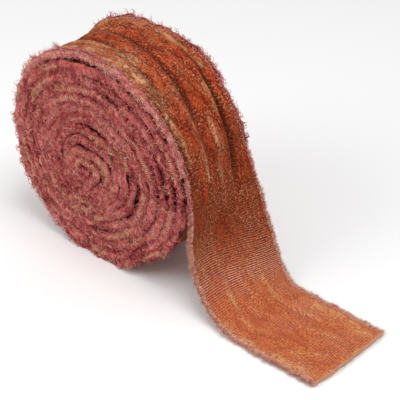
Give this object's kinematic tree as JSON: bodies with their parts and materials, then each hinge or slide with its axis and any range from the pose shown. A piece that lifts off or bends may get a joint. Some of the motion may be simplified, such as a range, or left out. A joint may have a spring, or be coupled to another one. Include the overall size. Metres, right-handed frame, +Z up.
{
  "type": "roll of velvet ribbon",
  "caption": "Coreless roll of crushed velvet ribbon with raw frayed edges, its free end laid out flat in front of it.",
  "frame": {"origin": "middle of the roll's flat underside, on the surface it rests on, under the roll's axis", "axes": "+X the way the free end lies, Y along the roll's axis, +Z up"},
  "size_m": [0.2156, 0.0598, 0.1194],
  "materials": {
    "velvet": "crushed pile",
    "frayed_yarn": "loose matt yarn"
  },
  "bodies": {
    "roll": {"turn_05": "velvet", "turn_06": "velvet", "turn_07": "velvet", "turn_08": "velvet", "turn_09": "velvet", "turn_10": "velvet", "near_fray_roll": "frayed_yarn", "far_fray_roll": "frayed_yarn"},
    "coil_turn_04": {"turn_04": "velvet", "near_fray_turn_04": "frayed_yarn", "far_fray_turn_04": "frayed_yarn"},
    "coil_turn_03": {"turn_03": "velvet", "near_fray_turn_03": "frayed_yarn", "far_fray_turn_03": "frayed_yarn"},
    "coil_turn_02": {"turn_02": "velvet", "near_fray_turn_02": "frayed_yarn", "far_fray_turn_02": "frayed_yarn"},
    "centre_curl_coil": {"centre_curl": "velvet", "near_fray_centre_curl": "frayed_yarn", "far_fray_centre_curl": "frayed_yarn", "inner_end": "velvet", "near_fray_inner_end": "frayed_yarn", "far_fray_inner_end": "frayed_yarn"},
    "lap_top_length": {"lap_top": "velvet", "near_fray_lap_top": "frayed_yarn", "far_fray_lap_top": "frayed_yarn"},
    "lap_shoulder_length": {"lap_shoulder": "velvet", "near_fray_lap_shoulder": "frayed_yarn", "far_fray_lap_shoulder": "frayed_yarn"},
    "lap_front_length": {"lap_front": "velvet", "near_fray_lap_front": "frayed_yarn", "far_fray_lap_front": "frayed_yarn"},
    "tail_drop_length": {"tail_drop": "velvet", "near_fray_tail_drop": "frayed_yarn", "far_fray_tail_drop": "frayed_yarn"},
    "bend_upper_length": {"bend_upper": "velvet", "near_fray_bend_upper": "frayed_yarn", "far_fray_bend_upper": "frayed_yarn"},
    "bend_lower_length": {"bend_lower": "velvet", "near_fray_bend_lower": "frayed_yarn", "far_fray_bend_lower": "frayed_yarn"},
    "tail_flat_length": {"tail_flat": "velvet", "near_fray_tail_flat": "frayed_yarn", "far_fray_tail_flat": "frayed_yarn"},
    "tail_tip_length": {"tail_tip": "velvet", "near_fray_tail_tip": "frayed_yarn", "far_fray_tail_tip": "frayed_yarn"}
  },
  "joints": [
    {"name": "push_turn_04", "type": "slide", "parent": "roll", "child": "coil_turn_04", "axis": [0, 1, 0], "range_m": [-0.0025, 0.0025]},
    {"name": "push_turn_03", "type": "slide", "parent": "coil_turn_04", "child": "coil_turn_03", "axis": [0, 1, 0], "range_m": [-0.0025, 0.0025]},
    {"name": "push_turn_02", "type": "slide", "parent": "coil_turn_03", "child": "coil_turn_02", "axis": [0, 1, 0], "range_m": [-0.0025, 0.0025]},
    {"name": "push_centre", "type": "slide", "parent": "coil_turn_02", "child": "centre_curl_coil", "axis": [0, 1, 0], "range_m": [-0.0025, 0.0025]},
    {"name": "unroll_top", "type": "hinge", "parent": "roll", "child": "lap_top_length", "pos_m": [0.003, 0, 0.1194], "axis": [0, -1, 0], "range_deg": [0, 30]},
    {"name": "unroll_shoulder", "type": "hinge", "parent": "lap_top_length", "child": "lap_shoulder_length", "pos_m": [0.03425, 0, 0.11103], "axis": [0, -1, 0], "range_deg": [0, 30]},
    {"name": "unroll_front", "type": "hinge", "parent": "lap_shoulder_length", "child": "lap_front_length", "pos_m": [0.05713, 0, 0.08815], "axis": [0, -1, 0], "range_deg": [0, 30]},
    {"name": "swing_out", "type": "hinge", "parent": "lap_front_length", "child": "tail_drop_length", "pos_m": [0.0655, 0, 0.0569], "axis": [0, -1, 0], "range_deg": [0, 35]},
    {"name": "lift_tail", "type": "hinge", "parent": "tail_drop_length", "child": "bend_upper_length", "pos_m": [0.0655, 0, 0.0399], "axis": [0, -1, 0], "range_deg": [0, 20]},
    {"name": "lift_bend", "type": "hinge", "parent": "bend_upper_length", "child": "bend_lower_length", "pos_m": [0.07631, 0, 0.01381], "axis": [0, -1, 0], "range_deg": [0, 20]},
    {"name": "lift_flat", "type": "hinge", "parent": "bend_lower_length", "child": "tail_flat_length", "pos_m": [0.1024, 0, 0.003], "axis": [0, -1, 0], "range_deg": [0, 20]},
    {"name": "curl_tip", "type": "hinge", "parent": "tail_flat_length", "child": "tail_tip_length", "pos_m": [0.1289, 0, 0.003], "axis": [0, -1, 0], "range_deg": [0, 70]}
  ],
  "couplings": [
    {"joint": "push_turn_03", "follows": "push_turn_04", "ratio": 1},
    {"joint": "push_turn_02", "follows": "push_turn_04", "ratio": 1},
    {"joint": "push_centre", "follows": "push_turn_04", "ratio": 1},
    {"joint": "unroll_shoulder", "follows": "unroll_top", "ratio": 1},
    {"joint": "unroll_front", "follows": "unroll_top", "ratio": 1},
    {"joint": "lift_bend", "follows": "lift_tail", "ratio": 1},
    {"joint": "lift_flat", "follows": "lift_tail", "ratio": 1}
  ]
}
